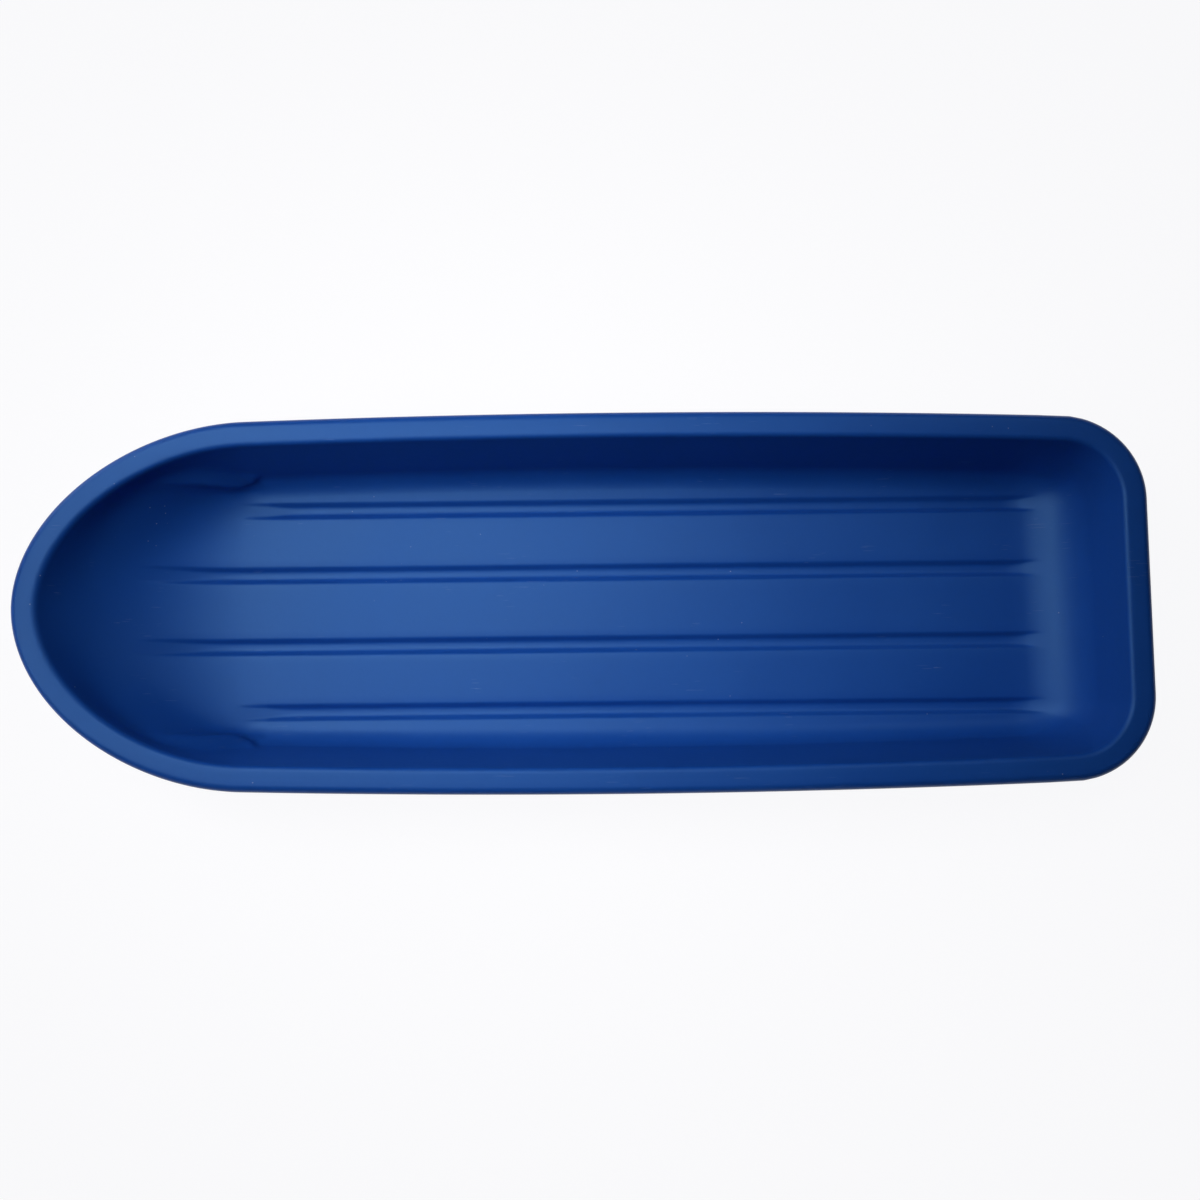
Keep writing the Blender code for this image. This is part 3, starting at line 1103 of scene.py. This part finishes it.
@dataclass(frozen=True)
class Dust:
    """Specks of dust, in patches.

    Attributes:
        scale: How close the specks may lie.
        size: Radius of a speck, as a share of that spacing.
        edge: Softness of its edge, as a share too.
        places: The patches that have specks.
    """

    scale: float = 55.0
    size: float = 0.035
    edge: float = 0.02
    places: Patches = Patches(11.0, 2.0, 0.55, 0.05)

    def mask(self, tree: NodeTree, coords: Socket) -> Socket:
        """Adds the specks' nodes, which give 1 on a speck and 0 off it."""
        cells = tree.node("ShaderNodeTexVoronoi", None, {"Vector": coords, "Scale": self.scale})("Distance")
        return (1.0 - cells.above(self.size, self.edge)) * self.places.mask(tree, coords)


@dataclass(frozen=True)
class Polyethylene:
    """Dark blue polyethylene with the satin grain of a drawn sheet, a few scuffs and specks of dust.

    Attributes:
        base, deep: The plastic's colour in the lighter and the darker clouds.
        scuff_colour, dust_colour: Colours of a scratch and a speck.
        gloss_tint: Tint of the gloss.
        roughness: Roughness in the darker clouds.
        cloud_roughness, scuff_roughness: What the lighter clouds and a scratch add to it.
        scuff_strength, dust_strength: How much of its colour a scratch or a speck shows.
        ior: Index of refraction.
        clouds: The slow variation of the colour.
        scuffs: The scratches, in two directions.
        dust: The specks.
        grain, peel: The fine grain of the drawn sheet, and the slower waviness under it.
    """

    base: Colour = (0.008, 0.066, 0.34)
    deep: Colour = (0.0065, 0.059, 0.318)
    scuff_colour: Colour = (0.16, 0.26, 0.50)
    dust_colour: Colour = (0.35, 0.42, 0.55)
    gloss_tint: Colour = (0.34, 0.72, 1.00)
    roughness: float = 0.40
    cloud_roughness: float = 0.05
    scuff_roughness: float = 0.12
    scuff_strength: float = 0.35
    dust_strength: float = 0.5
    ior: float = 1.5
    clouds: Patches = Patches(5.0, 3.0, 0.35, 0.35)
    scuffs: tuple[Scratches, Scratches] = (Scratches(0.12, 26.0), Scratches(-0.35, 30.0))
    dust: Dust = Dust()
    grain: Relief = Relief(750.0, 2.0, 0.00006)
    peel: Relief = Relief(90.0, 1.0, 0.00012)

    def material(self) -> bpy.types.Material:
        """Builds the plastic.

        Returns:
            The new material.
        """
        made = bpy.data.materials.new("blue_polyethylene")
        tree = NodeTree(made)
        coords = tree.node("ShaderNodeTexCoord")("Object")
        clouds = self.clouds.mask(tree, coords)
        scuffs = self.scuffs[0].mask(tree, coords) + self.scuffs[1].mask(tree, coords)
        dust = self.dust.mask(tree, coords)
        plain = tree.colour_mix(clouds, self.deep, self.base)
        worn = tree.colour_mix(scuffs * self.scuff_strength, plain, self.scuff_colour)
        colour = tree.colour_mix(dust * self.dust_strength, worn, self.dust_colour)
        rough = clouds * self.cloud_roughness + self.roughness + scuffs * self.scuff_roughness
        height = self.grain.bumps(tree, coords) + self.peel.bumps(tree, coords)
        bump = tree.node("ShaderNodeBump", None, {
            "Height": height, "Distance": 1.0, "Strength": 1.0})("Normal")
        shader = tree.node("ShaderNodeBsdfPrincipled", None, {
            "Base Color": colour, "Roughness": rough, "Normal": bump, "IOR": self.ior,
            "Specular Tint": (*self.gloss_tint, 1.0)})("BSDF")
        tree.node("ShaderNodeOutputMaterial", None, {"Surface": shader})
        return made


class Beam(Enum):
    """How wide a lamp's beam is."""

    OPEN = math.pi
    GRID = math.radians(50.0)


@dataclass(frozen=True)
class Softbox:
    """A square studio lamp aimed at the sled, open or behind a grid that narrows its beam."""

    name: str
    at: Point
    watts: float
    beam: Beam = Beam.OPEN
    aim_x: float = 0.0
    aim_z: float = 0.05
    size: float = 0.8

    def add(self) -> None:
        """Hangs the lamp."""
        lamp = bpy.data.lights.new(self.name, "AREA")
        lamp.shape = "SQUARE"
        lamp.size = self.size
        lamp.energy = self.watts
        lamp.spread = self.beam.value
        made = bpy.data.objects.new(self.name, lamp)
        made.location = self.at
        way = Vector((self.aim_x, 0.0, self.aim_z)) - Vector(self.at)
        made.rotation_euler = way.to_track_quat("-Z", "Y").to_euler()
        bpy.context.scene.collection.objects.link(made)


@dataclass(frozen=True)
class Studio:
    """Pale floor, soft lamps and the camera above the sled.

    Attributes:
        floor_size: Side of the floor.
        floor_colour: The floor's own colour.
        white: The white that the camera sees.
        floor_glow: Share of it that glows, which leaves the rest of the floor to light and shadow.
        camera_at, camera_turn: Where the camera is, and how it is turned round X, Y and Z.
        sensor, lens: Width of its sensor and its focal length, in millimetres.
        lamps: The lamps.
    """

    floor_size: float = 14.0
    floor_colour: Colour = (0.80, 0.80, 0.81)
    white: Colour = (1.028, 1.028, 1.045)
    floor_glow: float = 0.90
    camera_at: Point = (-0.0300, 0.1250, 1.7438)
    camera_turn: Point = (math.radians(4.51334), math.radians(0.181819), math.radians(179.416015))
    sensor: float = 36.0
    lens: float = 36.0
    lamps: tuple[Softbox, ...] = (
        Softbox("key_softbox", (2.30, -1.50, 1.00), 10.8),
        Softbox("fill_softbox", (1.80, 0.30, 1.45), 5.9),
        Softbox("stern_softbox", (-0.85, -1.30, 1.95), 3.1),
        Softbox("top_softbox", (0.0, -0.45, 1.95), 2.1),
        Softbox("key_grid", (1.30, -0.90, 1.95), 1.50, Beam.GRID),
        Softbox("nose_grid", (1.30, 0.0, 1.95), 0.81, Beam.GRID, 0.10),
        Softbox("near_grid", (0.50, -0.45, 1.95), 0.63, Beam.GRID, 0.10),
        Softbox("far_grid", (0.50, 0.45, 1.95), 0.37, Beam.GRID, 0.10),
        Softbox("top_grid", (0.0, -0.45, 1.95), 0.32, Beam.GRID, -0.15),
    )

    def floor_material(self) -> bpy.types.Material:
        """Makes a pale floor that the camera sees as white, apart from the sled's own shadow.

        Returns:
            The new material.
        """
        made = bpy.data.materials.new("studio_floor")
        tree = NodeTree(made)
        ray = tree.node("ShaderNodeLightPath")
        seen = ray("Is Camera Ray") + ray("Is Glossy Ray") + ray("Is Transmission Ray")
        pale = tree.node("ShaderNodeBsdfDiffuse", None, {"Color": (*self.floor_colour, 1.0)})("BSDF")
        glow = tree.node("ShaderNodeEmission", None, {
            "Color": (*self.white, 1.0), "Strength": 1.0})("Emission")
        shown = tree.shader_mix(self.floor_glow, pale, glow)
        tree.node("ShaderNodeOutputMaterial", None, {"Surface": tree.shader_mix(seen, pale, shown)})
        return made

    def add_floor(self) -> None:
        """Lays the floor under the runners."""
        bpy.ops.object.select_all(action="DESELECT")
        bpy.ops.mesh.primitive_plane_add(size=self.floor_size)
        floor = bpy.context.object
        floor.name = "studio_floor"
        floor.data.materials.append(self.floor_material())

    def add_world(self) -> None:
        """Makes a dark room, which the camera sees as white as the floor."""
        world = bpy.data.worlds.new("studio_room")
        bpy.context.scene.world = world
        tree = NodeTree(world)
        seen = tree.node("ShaderNodeLightPath")("Is Camera Ray")
        shader = tree.node("ShaderNodeBackground", None, {
            "Color": (*self.white, 1.0), "Strength": seen * self.floor_glow})("Background")
        tree.node("ShaderNodeOutputWorld", None, {"Surface": shader})

    def add_camera(self) -> None:
        """Sets the camera where the photograph was taken from."""
        data = bpy.data.cameras.new("photo_camera")
        data.sensor_width = self.sensor
        data.lens = self.lens
        camera = bpy.data.objects.new("photo_camera", data)
        camera.location = self.camera_at
        camera.rotation_euler = self.camera_turn
        bpy.context.scene.collection.objects.link(camera)
        bpy.context.scene.camera = camera

    def build(self) -> None:
        """Sets up the whole studio."""
        self.add_floor()
        self.add_world()
        for lamp in self.lamps:
            lamp.add()
        self.add_camera()
        bpy.context.scene.view_settings.view_transform = "Standard"


def main() -> None:
    """Builds the studio and the sled."""
    logging.basicConfig(level=logging.INFO)
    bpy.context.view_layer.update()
    Studio().build()
    LOG.info("studio ready")
    shell = SledShell(TubMould(Sheet.from_frame())).build(Polyethylene())
    LOG.info("%s: %d faces", shell.name, len(shell.data.polygons))


if __name__ == "__main__":
    main()
